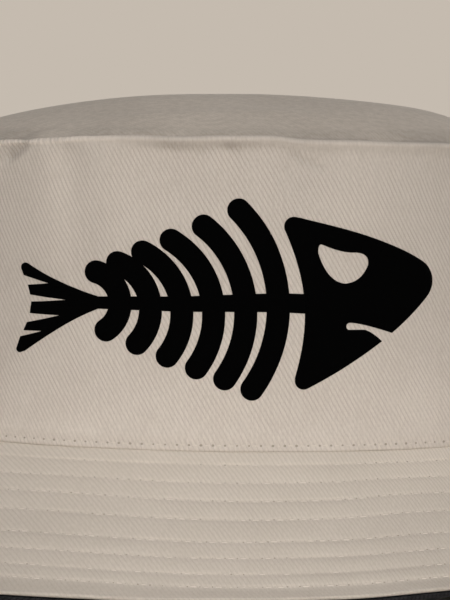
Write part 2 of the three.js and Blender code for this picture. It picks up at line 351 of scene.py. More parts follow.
def acrossFront(turn, up):  # x on the crown, the same way round on its back
    facing = np.where(np.cos(turn) < 0.0, -1.0, 1.0)
    return crownRadius(hat["seamHeight"] + up) * hat["wide"] * np.sin(turn) * facing


def gathered(turn):  # how far the rim is pulled in: strongly at each pull, and not between two
    wave = arc(turn, 87.0) * 2.0 * np.pi / crownCloth["gatherPitch"] + 2.0 * roundRipple(turn, 40, 8)
    return eased(degreesRound(turn), crownCloth["gathers"]) * (0.5 + 0.5 * np.cos(wave))


def crownCreases(turn, up):
    share = np.where(np.cos(turn) < 0.0, crownCloth["behind"], 1.0)
    return creased(acrossFront(turn, up), up, crownCloth["creases"]) * share


def belowRim(up):
    return hat["crownHeight"] + rimStand - up


def sideRelief(turn, up):
    fromRim = belowRim(up)
    underLip = np.maximum(fromRim - crownCloth["lipHeight"], 0.0)
    calm = smooth(up / crownCloth["calmEdge"]) * smooth(fromRim / crownCloth["calmEdge"])
    relief = calm * swelling(turn, up, crownCloth["swells"])
    uneven = 1.0 + crownCloth["lipUneven"] * roundRipple(turn, 60, 6)
    relief += crownCloth["lip"] * np.exp(-underLip / crownCloth["lipFade"]) * uneven
    relief -= sunk(acrossFront(turn, up), underLip)
    low, fades = crownCloth["gatherReach"]
    reach = np.exp(-(np.maximum(fromRim - low, 0.0) / fades) ** 2) * smooth(fromRim / crownCloth["lipFade"])
    relief -= crownCloth["gather"] * gathered(turn) * reach
    thicker, height, fades = crownCloth["foldedEdge"]
    relief += thicker * fade(up, height, fades)
    pull, width = crownCloth["topstitchPull"]
    relief -= pull * bump(up - crownCloth["topstitch"], width)
    swell, height, width = crownCloth["foldRidge"]
    relief += swell * bump(up - height, width) * (1.0 + ripple(turn, up, 60, 8.0, 7))
    relief -= crownCreases(turn, up)
    return relief - seamGroove(turn, quarter, crownCloth["wall"], *crownCloth["sideSeam"])


crownWearAndPaintedLight = {
    "lip": (0.9, 0.7),  # mm below the rim where the lighter lip ends, worn and with a painted highlight, and over how far
    "lipUneven": 0.35,
    "paintedShade": 0.9,  # painted shade in the gathers, hollows and creases
    "low": (0.5, 2.0, 50.0),  # painted light: the lowest cloth is lighter, standing in for more light low on the crown: by how much, up to where, and over how far
    "all": -0.1,
    "flatLip": (0.8, 1.6, 1.8),  # the weave is worn off the lip: how far, mm below the rim, and over how far
    "keptInGathers": 0.5,
    "flatHem": (0.3, 4.0, 8.0),  # and off the folded edge, in mm above the brim
    "flatRight": (0.35, 25.0, 73.0, 6.0),  # and off the right end of the rim, in x and in mm above the brim
    "clearSides": (0.3, 66.0, 12.0, 20.0, 25.0),  # clearer there: mm above the brim, reach, x, its reaches
    "softHem": (0.15, 5.0, 9.0),  # softer there: mm above the brim, and reach
}


def sideToneAndWeave(turn, up):  # how much lighter or darker the cloth is, rubbed and with painted light and shade, and how clearly its weave shows
    across = acrossFront(turn, up)
    fromRim = belowRim(up)
    lip = fade(fromRim, *crownWearAndPaintedLight["lip"])
    # how steeply the cloth sinks under the lip, which sets the painted shade in its hollows
    steep = np.maximum(fromRim - crownCloth["lipHeight"], 0.0) / crownCloth["hollowDepth"][0]
    hollow = eased(across, crownCloth["hollows"]) * steep * np.exp(-steep ** 2)
    # the lip is lighter: rubbed wear and a painted highlight
    tone = lip * (eased(across, crownCloth["lipWornAndLit"]) + crownWearAndPaintedLight["lipUneven"] * roundRipple(turn, 90, 9))
    # painted shade: the cloth is darker in the gathers, hollows and creases, where the light doesn't reach
    tone -= crownWearAndPaintedLight["paintedShade"] * (lip * gathered(turn) + hollow + crownCreases(turn, up))
    # painted light on the lowest cloth, an overall shift, and painted light and shade in patches
    lighter, start, length = crownWearAndPaintedLight["low"]
    tone += lighter * fade(up, start, length) + crownWearAndPaintedLight["all"] + patched(across, up, crownCloth["patches"])
    flat, start, length = crownWearAndPaintedLight["flatLip"]
    flat *= 1.0 - crownWearAndPaintedLight["keptInGathers"] * eased(degreesRound(turn), crownCloth["gathers"])
    weave = 1.0 - flat * fade(fromRim, start, length)
    flat, start, length = crownWearAndPaintedLight["flatHem"]
    weave -= flat * fade(up, start, length)
    flat, side, start, length = crownWearAndPaintedLight["flatRight"]
    weave *= 1.0 - flat * smooth(across / side) * grow(up, start, length)
    clear, height, reach, side, length = crownWearAndPaintedLight["clearSides"]
    flat, low, lowReach = crownWearAndPaintedLight["softHem"]
    clearer = clear * bump(up - height, reach) * grow(np.abs(across), side, length)
    weave *= 1.0 + clearer - flat * bump(up - low, lowReach)
    return tone, weave


topCloth = {
    "edge": 84.0,  # radius of its seam
    "moat": (0.65, 3.8, 3.2),  # the panel flattens before its seam: how far, mm from the seam, and how wide
    "moatUneven": 0.5,
    "swell": (0.3, 9, 30.0, 11),
    "calm": (12.0, 20.0),  # mm over which the swell fades towards the seam and towards the middle
    "sewn": (-0.8, 2.6),  # mm from the seam where the dips end, and over how far
    "paintedShade": (0.9, 5.0, 9.0),  # painted shade along the seam, behind the lip: how much, up to where, and over how far
    "weave": 0.35,
    "folds": [  # x, y in mm, length, lean in degrees, depth, width
        (-57.0, -54.0, 16.0, 28.0, 0.5, 3.2),
        (-20.0, -74.0, 14.0, 4.0, 0.25, 2.6),
        (40.0, -64.0, 16.0, -30.0, 0.2, 3.5),
        (-8.0, -76.0, 20.0, 4.0, 0.5, 7.0),
        (-8.0, -52.0, 30.0, 5.0, -0.8, 9.0),
        (10.0, 70.0, 14.0, 8.0, 0.3, 3.0),
        (-50.0, 50.0, 12.0, -40.0, 0.3, 3.0),
    ],
    "patches": [  # x, y in mm, radius, and how much lighter or darker the cloth is there: painted light and shade
        (-4.0, -36.0, 20.0, 0.55), (-9.0, -64.0, 9.0, 0.3), (58.0, -58.0, 12.0, -0.5),
        (-58.0, -58.0, 12.0, -0.4), (-49.0, -62.0, 7.0, 1.0), (45.0, -66.0, 6.0, 0.3),
    ],
}


def topRelief(turn, out):
    fromSeam = topCloth["edge"] - out
    seamCalm, middleCalm = topCloth["calm"]
    relief = swelling(turn, out, [topCloth["swell"]]) * smooth(fromSeam / seamCalm) * smooth(out / middleCalm)
    depth, place, width = topCloth["moat"]
    dip = depth * bump(fromSeam - place, width) * (1.0 + topCloth["moatUneven"] * roundRipple(turn, 22, 12))
    dip += creased(*flatTop(turn, out).T, topCloth["folds"])
    return relief - dip * grow(fromSeam, *topCloth["sewn"])


def topToneAndWeave(turn, out):
    seamShade, place, length = topCloth["paintedShade"]
    # painted light and shade in patches, and painted shade along the seam behind the lip
    tone = patched(*flatTop(turn, out).T, topCloth["patches"])
    tone -= seamShade * fade(topCloth["edge"] - out, place, length)
    return tone, np.full_like(out, topCloth["weave"])


brimCloth = {
    "rows": [4.4, 11.0, 17.5, 24.2, 32.1, 37.9, 43.6, 48.1],  # stitch rows, mm from the seam
    "bandEnds": (-3.0, 54.5),  # of the first and the last band
    "puff": 0.26,  # how far the cloth stands up between two rows
    "puffUneven": 0.5,
    "lastPuff": 0.2,  # share of it on the last band, which is free
    "pull": (0.06, 0.45),  # how deep and wide a row is drawn in
    "dive": (0.75, -1.7, 1.9),  # under the crown: depth, mm from the seam, and over how far
    "swells": [((0.06, 60, 7.0, 31), 5.0), ((0.1, 24, 20.0, 32), 8.0)],  # each with the mm that it grows over
    "backSeam": (0.5, 0.8),  # depth and width
}


def quilted(turn, along):
    low, last = brimCloth["bandEnds"]
    relief = np.zeros_like(along)
    for number, high in enumerate(brimCloth["rows"] + [last]):
        inside = np.clip((along - low) / (high - low), 0.0, 1.0)
        size = brimCloth["puff"] * (1.0 + brimCloth["puffUneven"] * roundRipple(turn, 26, 20 + number))
        if high == last:
            size *= brimCloth["lastPuff"]
        relief += size * 4.0 * inside * (1.0 - inside)
        low = high
    pull, width = brimCloth["pull"]
    return relief - sum(pull * bump(along - row, width) for row in brimCloth["rows"])


def brimRelief(turn, along):
    depth, start, length = brimCloth["dive"]
    relief = quilted(turn, along) - depth * fade(along, start, length)
    for swell, length in brimCloth["swells"]:
        relief += swelling(turn, along, [swell]) * smooth(along / length)
    return relief - seamGroove(turn, math.pi, hat["headRadius"], *brimCloth["backSeam"])


brimWearAndPaintedLight = {
    "row": (0.36, -0.3, 0.42),  # just above each row, rubbed and with a painted highlight: how much lighter, mm from the row, and how wide
    "inner": (0.4, 5.0, 24.0),  # lighter near the crown: how much, up to where, and over how far
    "outer": (-0.15, 42.0, 5.0),
    "sides": (-0.25, 12.0, 14.0, 10.0, 30.0),  # duller from so many degrees on, and from so many mm on
    "right": (0.35, 16.0, 14.0, 6.0, 18.0),  # lighter from so many degrees on, up to so many mm
    "lastBand": (0.3, 0.6),  # mm past the last row, and over how far
    "edge": (52.6, 1.0),
    "bandDull": 0.15, "edgeDull": 0.1, "bandFlat": 0.3,
    "weave": (1.2, 0.4, 4.0, 36.0),  # near the crown, how much it loses, from where, and over how far
    "clearRight": (0.35, 5.0, 25.0),  # clearer from so many degrees on
    "flatPlace": (0.3, -18.0, 9.0), "clearPlace": (0.3, -40.0, 9.0),  # degrees round the hat, and reach
    "fadesOut": 20.0,  # mm from the seam
}


def brimToneAndWeave(turn, along):  # rubbed along the stitches and the edge, with a painted highlight along the stitches, duller on the last band
    degrees = degreesRound(turn)
    tone = np.zeros_like(along)
    rub, place, width = brimWearAndPaintedLight["row"]
    # a painted highlight, partly rubbed wear, along each stitch row
    for number, row in enumerate(brimCloth["rows"]):
        tone += rub * bump(along - row - place, width) * (1.0 + roundRipple(turn, 150, 90 + number))
    rub, start, length = brimWearAndPaintedLight["inner"]
    tone += rub * fade(along, start, length)
    rub, start, length = brimWearAndPaintedLight["outer"]
    tone += rub * grow(along, start, length)
    rub, side, sideLength, start, length = brimWearAndPaintedLight["sides"]
    tone += rub * grow(np.abs(degrees), side, sideLength) * grow(along, start, length)
    rub, side, sideLength, start, length = brimWearAndPaintedLight["right"]
    tone += rub * grow(degrees, side, sideLength) * fade(along, start, length)
    start, length = brimWearAndPaintedLight["lastBand"]
    band = grow(along, brimCloth["rows"][-1] + start, length)
    edge = grow(along, *brimWearAndPaintedLight["edge"])
    tone -= band * (brimWearAndPaintedLight["bandDull"] + brimWearAndPaintedLight["edgeDull"] * edge)
    clear, loss, start, length = brimWearAndPaintedLight["weave"]
    weave = clear - loss * grow(along, start, length) - brimWearAndPaintedLight["bandFlat"] * band * (1.0 - edge)
    clear, side, length = brimWearAndPaintedLight["clearRight"]
    flat, place, width = brimWearAndPaintedLight["flatPlace"]
    local = clear * grow(degrees, side, length) - flat * bump(degrees - place, width)
    weave *= 1.0 + local * bump(along, brimWearAndPaintedLight["fadesOut"])
    clear, place, width = brimWearAndPaintedLight["clearPlace"]
    return tone, weave * (1.0 + clear * bump(degrees - place, width))


underCloth = {
    "inner": (0.5, 3.0),  # the quilting grows from the head opening, and fades towards the edge
    "outer": (49.5, 4.0),
    "swell": (0.06, 60, 7.0, 33),
    "backSeam": (0.45, 0.8),
}


def underRelief(turn, along):
    relief = quilted(turn, along) * grow(along, *underCloth["inner"])
    relief += swelling(turn, along, [underCloth["swell"]])
    relief *= fade(along, *underCloth["outer"])
    return relief - seamGroove(turn, math.pi, hat["headRadius"], *underCloth["backSeam"])


# flat coordinates on the uncut cloth, in mm, which carry the weave

grain = {
    "bow": 0.0012,  # how far it bends where the cloth is drawn into its seams
    "reach": 60.0,
    "upper": (0.7, 62.0, 22.0),  # share of the bend, mm above the brim, and over how far
    "lower": (0.4, 0.0, 35.0),
}


def flatSide(turn, up):
    x = arc(turn, crownRadius(hat["seamHeight"] + up))
    share, start, length = grain["upper"]
    lowShare, lowStart, lowLength = grain["lower"]
    drawn = share * grow(up, start, length) + lowShare * fade(up, lowStart, lowLength)
    return np.stack([x, up - grain["bow"] * np.minimum(np.abs(x), grain["reach"]) ** 2 * drawn], axis=-1)


def flatTop(turn, out):
    return np.stack([out * np.sin(turn) * hat["wide"], -out * np.cos(turn) * hat["deep"]], axis=-1)


def flatBrim(turn, along):  # a cone laid flat, its straight grain at the front
    share = math.cos(math.radians((hat["brimInnerSlope"] + hat["brimOuterSlope"]) / 2.0))
    fan = np.interp(turn, fullTurn, ovalTurn) * share
    reach = hat["headRadius"] / share + along
    return np.stack([reach * np.sin(fan), -reach * np.cos(fan)], axis=-1)


# materials

def linear(hexColour):
    channels = [int(hexColour[i:i + 2], 16) / 255.0 for i in (1, 3, 5)]
    return tuple(c / 12.92 if c <= 0.04045 else ((c + 0.055) / 1.055) ** 2.4 for c in channels) + (1.0,)


def addNode(tree, kind, settings=None, links=None):
    node = tree.nodes.new(kind)
    for key, value in (settings or {}).items():
        if isinstance(key, int) or key in node.inputs:
            node.inputs[key].default_value = value
        else:
            setattr(node, key, value)
    for key, socket in (links or {}).items():
        tree.links.new(socket, node.inputs[key])
    return node


def newMaterial(name, settings):
    material = bpy.data.materials.new(name)
    material.use_nodes = True
    tree = material.node_tree
    tree.nodes.clear()
    shader = addNode(tree, "ShaderNodeBsdfPrincipled", settings)
    addNode(tree, "ShaderNodeOutputMaterial", links={"Surface": shader.outputs["BSDF"]})
    return material, tree, shader


def calc(tree, operation, *values):  # each value is a number or a socket
    sockets = {i: v for i, v in enumerate(values) if isinstance(v, bpy.types.NodeSocket)}
    numbers = {i: v for i, v in enumerate(values) if i not in sockets}
    return addNode(tree, "ShaderNodeMath", {"operation": operation, **numbers}, sockets).outputs[0]


def ranged(tree, value, low, high, toLow=0.0, toHigh=1.0, kind="LINEAR"):
    limits = {"From Min": low, "From Max": high, "To Min": toLow, "To Max": toHigh}
    settings = {"interpolation_type": kind, **limits}
    return addNode(tree, "ShaderNodeMapRange", settings, {"Value": value}).outputs[0]


def noise(tree, vector, scale, detail):
    return addNode(tree, "ShaderNodeTexNoise", {"Scale": scale, "Detail": detail}, {"Vector": vector})


def mixed(tree, share, first, second):  # of two colours
    settings = {"data_type": "RGBA", 6: linear(first), 7: linear(second)}
    return addNode(tree, "ShaderNodeMix", settings, {0: share}).outputs[2]


def raised(tree, shader, height, strength, distance):  # distance in mm
    settings = {"Strength": strength, "Distance": distance * mm}
    relief = addNode(tree, "ShaderNodeBump", settings, {"Height": height})
    tree.links.new(relief.outputs["Normal"], shader.inputs["Normal"])


# Cotton twill, three-up one-down: each warp yarn floats over three weft yarns and dips under the
# fourth, one weft further on than its neighbour, so the dips line up as slanting grooves.
twill = {
    "warpSpacing": 0.33,  # mm
    "weftSpacing": 0.572,
    "float": 0.25,  # one weft, as a share of the repeat
    "dip": (0.2, 0.46),  # from a float's middle, where the yarn starts to go under, and where it is under
    "waver": 0.16,  # mm that the yarns wander
    "waverScale": 0.22,
    "bump": 0.55,
    "middle": 0.42,  # mean height of the weave, where yarns are 1 and grooves 0
    "uneven": 0.45,  # how much the weave's clearness varies over the cloth
    "unevenScale": 0.2,
    "cloud": 0.12,  # how much its colour varies
    "cloudScale": 0.06,
    "toned": 0.18,  # how much lighter a tone of 1 makes the cloth, from rubbing and from painted light
}


def twillMaterial(name, look):
    material, tree, shader = newMaterial(name, {
        "Roughness": look["roughness"], "Specular IOR Level": look["specular"],
        "Sheen Weight": look["sheen"], "Sheen Roughness": 0.5,
    })
    uv = addNode(tree, "ShaderNodeUVMap", {"uv_map": "cloth"}).outputs["UV"]
    wander = addNode(
        tree, "ShaderNodeVectorMath",
        {"operation": "MULTIPLY_ADD", 1: [twill["waver"] * 2.0] * 3, 2: [-twill["waver"]] * 3},
        {0: noise(tree, uv, twill["waverScale"], 2.0).outputs["Color"]},
    )
    cloth = addNode(tree, "ShaderNodeVectorMath", {"operation": "ADD"}, {0: uv, 1: wander.outputs[0]})
    axes = addNode(tree, "ShaderNodeSeparateXYZ", links={0: cloth.outputs[0]})
    warp = calc(tree, "DIVIDE", axes.outputs["X"], twill["warpSpacing"])
    yarn = calc(tree, "FLOOR", warp)
    roundYarn = calc(tree, "SINE", calc(tree, "MULTIPLY", calc(tree, "FRACT", warp), math.pi))
    shift = calc(tree, "MULTIPLY", yarn, twill["float"])
    weft = calc(tree, "MULTIPLY_ADD", axes.outputs["Y"], twill["float"] / twill["weftSpacing"], shift)
    fromMiddle = calc(tree, "ABSOLUTE", calc(tree, "SUBTRACT", calc(tree, "FRACT", weft), 0.5))
    under = ranged(tree, fromMiddle, *twill["dip"], kind="SMOOTHSTEP")
    woven = calc(tree, "MULTIPLY", roundYarn, calc(tree, "SUBTRACT", 1.0, under))
    patches = noise(tree, uv, twill["unevenScale"], 3.0).outputs["Fac"]
    patchy = ranged(tree, patches, 0.32, 0.68, 1.0 - twill["uneven"], 1.0 + twill["uneven"])
    weave = addNode(tree, "ShaderNodeAttribute", {"attribute_name": "weave"})
    height = addNode(
        tree, "ShaderNodeMix", {"data_type": "FLOAT", "clamp_factor": False, 2: twill["middle"]},
        {0: calc(tree, "MULTIPLY", patchy, weave.outputs["Fac"]), 3: woven},
    ).outputs[0]
    one = addNode(tree, "ShaderNodeCombineXYZ", links={"X": yarn, "Y": calc(tree, "FLOOR", weft)})
    fleck = addNode(tree, "ShaderNodeTexWhiteNoise", {"noise_dimensions": "2D"}, {"Vector": one.outputs[0]})
    flecks = ranged(tree, fleck.outputs["Value"], 0.0, 1.0, -look["fleck"], look["fleck"])
    fibres = noise(tree, uv, look["grain"], 2.0).outputs["Fac"]
    fuzz = ranged(tree, fibres, 0.3, 0.7, -look["fuzz"], look["fuzz"])
    mottle = noise(tree, uv, twill["cloudScale"], 3.0).outputs["Fac"]
    cloud = ranged(tree, mottle, 0.3, 0.7, -twill["cloud"], twill["cloud"])
    shade = calc(tree, "ADD", calc(tree, "ADD", calc(tree, "ADD", height, flecks), fuzz), cloud)
    # the grooves take the darker groove colour: painted shade in the weave's dips
    colour = mixed(tree, shade, look["groove"], look["yarn"])
    # the tone carries rubbed wear and painted light and shade
    toneNode = addNode(tree, "ShaderNodeAttribute", {"attribute_name": "tone"})
    gain = calc(tree, "MULTIPLY_ADD", toneNode.outputs["Fac"], twill["toned"], 1.0)
    toned = addNode(tree, "ShaderNodeVectorMath", {"operation": "SCALE"}, {0: colour, "Scale": gain})
    tree.links.new(toned.outputs[0], shader.inputs["Base Color"])
    raised(tree, shader, height, twill["bump"], look["raised"])
    return material


naturalTwill = twillMaterial("naturalCottonTwill", {  # undyed, washed: dry, warm and matt
    "yarn": "#cac0b5", "groove": "#b3a89d", "fleck": 0.14, "grain": 1.1, "fuzz": 0.14, "raised": 0.075,
    "roughness": 0.95, "specular": 0.15, "sheen": 0.03,
})
pressedTwill = twillMaterial("pressedCottonTwill", {  # the same cloth, flattened by its stitch rows
    "yarn": "#c7bcb0", "groove": "#baafa2", "fleck": 0.14, "grain": 0.9, "fuzz": 0.2, "raised": 0.045,
    "roughness": 0.95, "specular": 0.15, "sheen": 0.03,
})
softTwill = twillMaterial("softCottonTwill", {  # the same cloth on the top panel, felted by washing
    "yarn": "#ccc0b3", "groove": "#b6aa9d", "fleck": 0.1, "grain": 0.45, "fuzz": 0.3, "raised": 0.05,
    "roughness": 0.95, "specular": 0.15, "sheen": 0.03,
})
blackTwill = twillMaterial("blackCottonTwill", {  # dyed black, its float tops a touch grey
    "yarn": "#2a2829", "groove": "#0c0b0c", "fleck": 0.2, "grain": 1.1, "fuzz": 0.15, "raised": 0.12,
    "roughness": 0.9, "specular": 0.2, "sheen": 0.06,
})


def threadMaterial(name, dark, light):  # spun polyester, two plies twisted
    material, tree, shader = newMaterial(name, {"Roughness": 0.6, "Specular IOR Level": 0.3})
    place = addNode(tree, "ShaderNodeTexCoord")
    plies = noise(tree, place.outputs["Object"], 2600.0, 1.0).outputs["Fac"]
    tree.links.new(mixed(tree, plies, dark, light), shader.inputs["Base Color"])
    raised(tree, shader, plies, 0.3, 0.05)
    return material


def inkMaterial():  # screen-print ink soaked into the weave: flat black, no gloss
    look = {"Base Color": linear("#020202"), "Roughness": 0.9, "Specular IOR Level": 0.02}
    material, tree, shader = newMaterial("screenPrintInk", look)
    uv = addNode(tree, "ShaderNodeUVMap", {"uv_map": "cloth"})
    raised(tree, shader, noise(tree, uv.outputs["UV"], 2.2, 2.0).outputs["Fac"], 0.25, 0.05)
    return material


naturalThread = threadMaterial("naturalThread", "#c1b6aa", "#d9cec2")
blackThread = threadMaterial("blackThread", "#161516", "#2e2c2d")
ink = inkMaterial()
# painted shade: the shallow needle holes take a darker colour than the cloth
needleHole = newMaterial("needleHole", {
    "Base Color": linear("#9a9084"), "Roughness": 1.0, "Specular IOR Level": 0.0,
})[0]
print("made the twill, thread and ink")


# cloth pieces

def inOrder(bm):  # extruding, spinning and joining leave the elements in any order
    def rank(place):
        return place.x + 1.37 * place.y + 2.11 * place.z

    bm.verts.sort(key=lambda vert: rank(vert.co))
    bm.edges.sort(key=lambda edge: rank(edge.verts[0].co + edge.verts[1].co))
    bm.faces.sort(key=lambda face: rank(face.calc_center_median()))


def meshFrom(bm, name):
    mesh = bpy.data.meshes.new(name)
    bm.to_mesh(mesh)
    bm.free()
    return mesh


def addPiece(name, mesh, material, nodes=()):
    piece = bpy.data.objects.new(name, mesh)
    bpy.context.scene.collection.objects.link(piece)
    mesh.materials.append(material)
    mesh.shade_smooth()
    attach(piece, "root")
    if nodes:
        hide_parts(*nodes)
    return piece


def evenToneAndWeave(turn, up):
    return np.zeros_like(turn), np.ones_like(turn)


def pointsOf(mesh):
    points = np.zeros(len(mesh.vertices) * 3)
    mesh.vertices.foreach_get("co", points)
    return points.reshape(-1, 3)


def layOut(mesh, points, flat):  # moves the points, and stores the place of each on the uncut cloth
    mesh.vertices.foreach_set("co", (points * mm).ravel())
    corners = np.zeros(len(mesh.loops), dtype=int)
    mesh.loops.foreach_get("vertex_index", corners)
    mesh.uv_layers.new(name="cloth").data.foreach_set("uv", flat[corners].ravel())


def thicken(piece, thickness):  # inwards from the seen face
    solid = piece.modifiers.new("thickness", "SOLIDIFY")
    solid.thickness = thickness * mm
    solid.offset = -1.0


def clothPiece(cut, material, nodes):  # a grid laid on a skin, raised by its relief, given a thickness
    bm = bmesh.new()
    bmesh.ops.create_grid(bm, x_segments=cut["columns"], y_segments=cut["rows"], size=0.5)
    mesh = meshFrom(bm, cut["name"])
    grid = pointsOf(mesh) + 0.5
    turn = cut["turns"][0] + (cut["turns"][1] - cut["turns"][0]) * grid[:, 0]
    shares, ups = zip(*cut["spread"])
    up = np.interp(grid[:, 1], shares, ups)
    layOut(mesh, lifted(cut["skin"], turn, up, cut["relief"](turn, up))[0], cut["flat"](turn, up))
    for attribute, values in zip(("tone", "weave"), cut.get("toneAndWeave", evenToneAndWeave)(turn, up)):
        mesh.attributes.new(attribute, "FLOAT", "POINT").data.foreach_set("value", values)
    bm = bmesh.new()
    bm.from_mesh(mesh)
    bmesh.ops.remove_doubles(bm, verts=bm.verts, dist=0.02 * mm)
    if seenFace[cut["skin"]] * (ups[-1] - ups[0]) < 0.0:
        bmesh.ops.reverse_faces(bm, faces=bm.faces)
    for seat in cut.get("holes", ()):  # cloth is punched out under each eyelet
        near = [v for v in bm.verts if (v.co - seat["middle"]).length < eyelets["punched"] * mm]
        bmesh.ops.delete(bm, geom=near, context="VERTS")
    bm.to_mesh(mesh)
    bm.free()
    thicken(addPiece(cut["name"], mesh, material, nodes), cut["thick"])
    print("laid", cut["name"], len(mesh.polygons), "faces")


def pastBack(measure):  # the same measure, for turns that are counted on past the back
    return lambda turn, up: measure(np.where(turn > np.pi, turn - 2.0 * np.pi, turn), up)


eyelets = {
    "height": 50.0, "angle": 11.0,  # above the brim's seam, and either side of the side seam
    "hole": 1.7, "punched": 2.0, "barrel": 2.3, "flange": 4.2,  # radii
    "crest": (2.6, 3.6), "rise": 0.9,  # radii and height of the ring's top
    "through": -3.2,  # the wall's inner face
    "threads": 34, "ridge": 0.09, "uneven": 0.012,
}
eyeletSeats = []
for side, sideName in ((-1, "right"), (1, "left")):
    for step, endName in ((-1, "front"), (1, "back")):
        seatTurn = np.array([side * (math.pi / 2.0 + step * math.radians(eyelets["angle"]))])
        middle, normal = lifted(sideSkin, seatTurn, np.array([eyelets["height"]]), np.zeros(1))
        eyeletSeats.append({
            "name": "eyelet_" + sideName + "_" + endName,
            "turn": seatTurn[0],
            "middle": Vector(middle[0] * mm),
            "normal": Vector(normal[0]),
        })

sideSpread = [  # share of the rows, mm above the brim's seam: closer at both seams
    (0.0, -0.1), (0.07, 0.8), (0.12, 1.4), (0.2, 4.0), (0.66, 75.0), (0.78, 80.0), (0.93, 84.9), (1.0, 85.9),
]
clothPiece({
    "name": "crownFront", "columns": 380, "rows": 116, "turns": (-quarter, quarter), "spread": sideSpread,
    "skin": sideSkin, "relief": sideRelief, "flat": flatSide, "toneAndWeave": sideToneAndWeave,
    "thick": 0.9, "holes": eyeletSeats,
}, naturalTwill, ["crown_front"])
clothPiece({
    "name": "crownBack", "columns": 380, "rows": 116, "turns": (quarter, 3.0 * quarter), "spread": sideSpread,
    "skin": sideSkin, "relief": pastBack(sideRelief), "toneAndWeave": pastBack(sideToneAndWeave),
    "flat": lambda turn, up: flatSide(turn - np.pi, up), "thick": 0.9, "holes": eyeletSeats,
}, naturalTwill, ["crown_back"])
clothPiece({
    "name": "crownTop", "columns": 360, "rows": 80, "turns": (-math.pi, math.pi),
    "spread": [(0.0, 84.3), (0.5, 70.0), (1.0, 0.0)],
    "skin": topSkin, "relief": topRelief, "flat": flatTop, "toneAndWeave": topToneAndWeave, "thick": 0.9,
}, softTwill, ["crown_top"])
clothPiece({
    "name": "brimUpper", "columns": 480, "rows": 100, "turns": (-math.pi, math.pi),
    "spread": [(0.0, 55.0), (0.06, 53.2), (0.12, 50.0), (0.92, 1.0), (1.0, -1.6)],
    "skin": brimSkin, "relief": brimRelief, "flat": flatBrim, "toneAndWeave": brimToneAndWeave, "thick": 0.55,
}, pressedTwill, ["brim_upper"])
clothPiece({
    "name": "brimUnder", "columns": 420, "rows": 90, "turns": (-math.pi, math.pi),
    "spread": [(0.0, -1.2), (0.85, 53.0), (1.0, 57.0)],
    "skin": underSkin, "relief": underRelief, "flat": flatBrim, "thick": 0.5,
}, blackTwill, ["brim_under"])

# lining

lining = {
    "loose": 0.3,  # mm off the cloth
    "swells": [(0.25, 15, 30.0, 51), (0.1, 50, 10.0, 52)],
    "seam": (0.5, 0.9),  # depth and width
    "topLoose": 0.4,
    "topSwell": (0.3, 9, 30.0, 53),
    "calmMiddle": 20.0,
}


def liningRelief(turn, up):
    relief = swelling(turn, up, lining["swells"]) + lining["loose"]
    underLip = np.maximum(hat["crownHeight"] - up - crownCloth["lipHeight"], 0.0)
    relief += sunk(acrossFront(turn, up), underLip)
    return relief - seamGroove(turn, quarter, crownCloth["wall"], *lining["seam"])


def liningTopRelief(turn, out):  # gives way wherever the panel over it dips
    swell = swelling(turn, out, [lining["topSwell"]]) * smooth(out / lining["calmMiddle"])
    return lining["topLoose"] + swell - np.minimum(topRelief(turn, out), 0.0)


clothPiece({
    "name": "liningSide", "columns": 300, "rows": 60, "turns": (-math.pi, math.pi),
    "spread": [(0.0, -0.6), (1.0, 82.6)],
    "skin": liningSide, "relief": liningRelief, "flat": flatSide, "thick": 0.4, "holes": eyeletSeats,
}, blackTwill, ["lining_side"])
clothPiece({
    "name": "liningTop", "columns": 240, "rows": 40, "turns": (-math.pi, math.pi),
    "spread": [(0.0, 83.9), (1.0, 0.0)],
    "skin": liningTop, "relief": liningTopRelief, "flat": flatTop, "thick": 0.4,
}, blackTwill, ["lining_top"])

# stitches

thread = {
    "pitch": 3.1, "length": 2.35,  # mm
    "taper": 0.45, "sink": 1.7,  # at a stitch's ends: how much thinner, and how many radii down
    "longer": (0.94, 1.06), "thicker": (0.85, 1.15), "aside": (-0.07, 0.07),  # from the least to the most
}
pit = {"stretch": 1.2, "stand": 0.06, "floor": 0.45, "depth": 0.3}  # a needle hole, for a rim of radius 1
onBrim = {"radius": 0.17, "proud": (-0.15, 0.06), "hole": (0.08, 0.24)}
onCrown = {"radius": 0.14, "proud": (-0.12, -0.03), "hole": (0.24, 0.36)}  # tight, so its holes show


def stitchMesh():  # one stitch from x -0.5 to 0.5, arched, its ends down in the cloth
    parts = 4
    bm = bmesh.new()
    ring = bmesh.ops.create_circle(bm, cap_ends=True, segments=6, radius=1.0)["verts"]
    bmesh.ops.rotate(bm, verts=ring, cent=(0, 0, 0), matrix=Matrix.Rotation(quarter, 3, "Y"))
    bmesh.ops.translate(bm, verts=ring, vec=(-0.5, 0, 0))
    face = bm.faces[:][0]
    for part in range(parts):
        made = bmesh.ops.extrude_face_region(bm, geom=[face])["geom"]
        if part > 0:  # no wall is left inside the thread
            bmesh.ops.delete(bm, geom=[face], context="FACES_ONLY")
        face = [g for g in made if isinstance(g, bmesh.types.BMFace)][0]
        bmesh.ops.translate(bm, verts=face.verts, vec=(1.0 / parts, 0, 0))
    for vert in bm.verts:
        end = (abs(vert.co.x) * 2.0) ** 3
        vert.co.y *= 1.0 - thread["taper"] * end
        vert.co.z = vert.co.z * (1.0 - thread["taper"] * end) - thread["sink"] * end
    inOrder(bm)
    bmesh.ops.recalc_face_normals(bm, faces=bm.faces)
    return meshFrom(bm, "stitch")


def holeMesh():  # a shallow pit, rim radius 1
    bm = bmesh.new()
    bmesh.ops.create_circle(bm, cap_ends=True, segments=7, radius=1.0)
    bmesh.ops.inset_region(bm, faces=bm.faces[:], thickness=1.0 - pit["floor"])
    bmesh.ops.translate(bm, verts=[v for v in bm.verts if v.co.length < 0.8], vec=(0, 0, -pit["depth"]))
    return meshFrom(bm, "hole")


stitch = stitchMesh()
hole = holeMesh()


